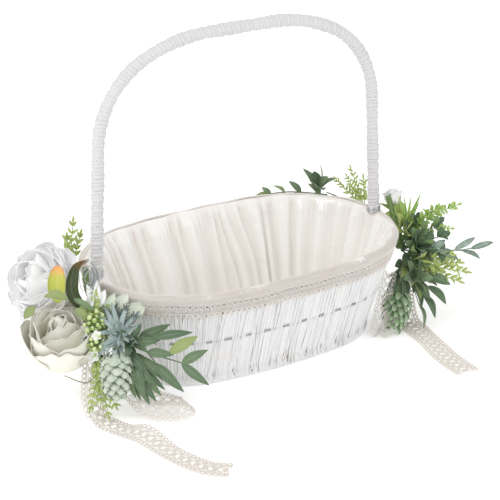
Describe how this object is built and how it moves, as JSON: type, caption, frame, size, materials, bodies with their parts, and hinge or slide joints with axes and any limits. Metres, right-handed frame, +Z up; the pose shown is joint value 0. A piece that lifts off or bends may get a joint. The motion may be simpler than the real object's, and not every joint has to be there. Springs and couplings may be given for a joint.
{
  "type": "flower girl basket",
  "caption": "Oval white wicker flower girl basket with a cord-wrapped handle, gathered satin lining, lace rim, and a spray of artificial flowers with a lace tail at each handle foot.",
  "frame": {"origin": "centre of the basket's oval base, on the surface it rests on", "axes": "+Z up, +X along the basket in the plane of the handle, with the rose and peony at the -X end; +Y towards the back"},
  "size_m": [0.4035, 0.2713, 0.265],
  "materials": {
    "wicker_white": "white lacquered wicker strands",
    "base_board": "sealed board",
    "card_pad": "card and foam",
    "satin_ivory": "gathered satin",
    "lace_cream": "cotton lace",
    "rod_steel": "drawn wire",
    "cord_white": "wound cord",
    "binding_wire": "bright wire",
    "floral_tape": "crepe tape",
    "petal_white": "matte foam petals",
    "petal_cream": "matte fabric petals",
    "calyx_green": "fabric leaf with an orange tip",
    "leaf_dark": "satin plastic leaf",
    "leaf_olive": "satin plastic leaf",
    "leaf_pale": "translucent leaf",
    "leaf_dusty": "powdery leaf",
    "needle_dark": "satin plastic needles",
    "berry_green": "glossy berries",
    "blossom_white": "matte petals",
    "cone_pale": "soft scales",
    "cone_green": "soft scales",
    "fern_green": "soft fronds",
    "stalk_green": "bare stem",
    "organza_grey": "sheer organza",
    "grass_green": "soft blades"
  },
  "bodies": {
    "root": {"base_board": "base_board", "base_hoop": "wicker_white", "mid_hoop": "wicker_white", "rim_hoop_front": "wicker_white", "rim_hoop_back": "wicker_white", "wall_stakes": "wicker_white", "lower_weave": "wicker_white", "upper_weave": "wicker_white", "floor_pad": "card_pad", "satin_lining": "satin_ivory", "rim_lace": "lace_cream", "handle_rod": "rod_steel", "handle_wrap": "cord_white", "left_handle_binding": "binding_wire", "right_handle_binding": "binding_wire", "left_stem_bundle": "floral_tape", "left_peony_petals": "petal_white", "left_peony_heart": "petal_white", "left_rose_petals": "petal_cream", "left_rose_heart": "petal_cream", "left_calyx_leaf": "calyx_green", "left_curled_leaf": "leaf_dark", "left_rose_leaves": "leaf_olive", "left_berries": "berry_green", "left_filler_blossoms": "blossom_white", "left_dusty_sprig": "leaf_dusty", "left_rosemary": "needle_dark", "left_pale_leaf": "leaf_pale", "left_hop_cone": "cone_pale", "left_olive_upper": "leaf_olive", "left_olive_twig": "leaf_olive", "left_olive_lower": "leaf_olive", "left_fern": "fern_green", "left_stalk": "stalk_green", "left_bud_sprig": "fern_green", "left_organza_ribbon": "organza_grey", "left_lily": "blossom_white", "left_lace_tail": "lace_cream", "left_lace_loop": "lace_cream", "right_stem_bundle": "floral_tape", "right_white_bud": "blossom_white", "right_foot_leaves": "fern_green", "right_grass": "grass_green", "right_rosemary": "grass_green", "right_boxwood": "leaf_dark", "right_dusty_twig": "leaf_dusty", "right_feathery": "fern_green", "right_olive_middle": "leaf_olive", "right_olive_low": "leaf_olive", "right_cone_tuft": "cone_green", "right_fern": "fern_green", "right_back_sprig": "leaf_olive", "right_lace_tail": "lace_cream", "right_lace_loop": "lace_cream"}
  },
  "joints": []
}
